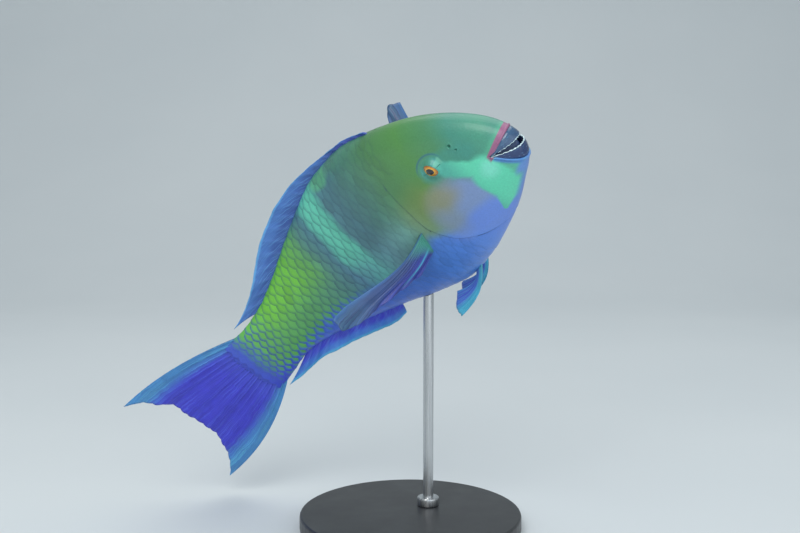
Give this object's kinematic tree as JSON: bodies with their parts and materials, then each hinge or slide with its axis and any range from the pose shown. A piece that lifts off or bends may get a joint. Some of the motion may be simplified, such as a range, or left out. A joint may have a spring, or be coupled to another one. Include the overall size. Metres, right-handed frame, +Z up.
{
  "type": "parrotfish on a display stand",
  "caption": "Life-size parrotfish bent in a swimming turn, beak ajar and fins spread, held by a slim rod on a round base.",
  "frame": {"origin": "centre of the stand base's underside", "axes": "+Z up, +X towards the side that the head points to, -Y towards the viewer of the right flank"},
  "size_m": [0.3162, 0.1834, 0.3245],
  "materials": {
    "skin": "wet scaled skin in green, turquoise and blue",
    "fin": "thin rayed fin membrane in blue and violet",
    "beak": "smooth fused teeth, dark blue with a pale cutting edge",
    "eye": "clear polished eye, orange round a dark pupil",
    "stand_paint": "satin black",
    "stand_steel": "brushed"
  },
  "bodies": {
    "root": {"head": "skin", "trunk": "skin", "tail_stalk": "skin", "gill_cover_left": "skin", "gill_cover_right": "skin", "dorsal_fin": "fin", "anal_fin": "fin", "caudal_fin": "fin", "pectoral_fin_left": "fin", "pectoral_fin_right": "fin", "pelvic_fin_left": "fin", "pelvic_fin_right": "fin", "upper_beak": "beak", "lower_beak": "beak", "eye_left": "eye", "eye_right": "eye", "stand_base": "stand_paint", "stand_rod": "stand_steel"}
  },
  "joints": []
}
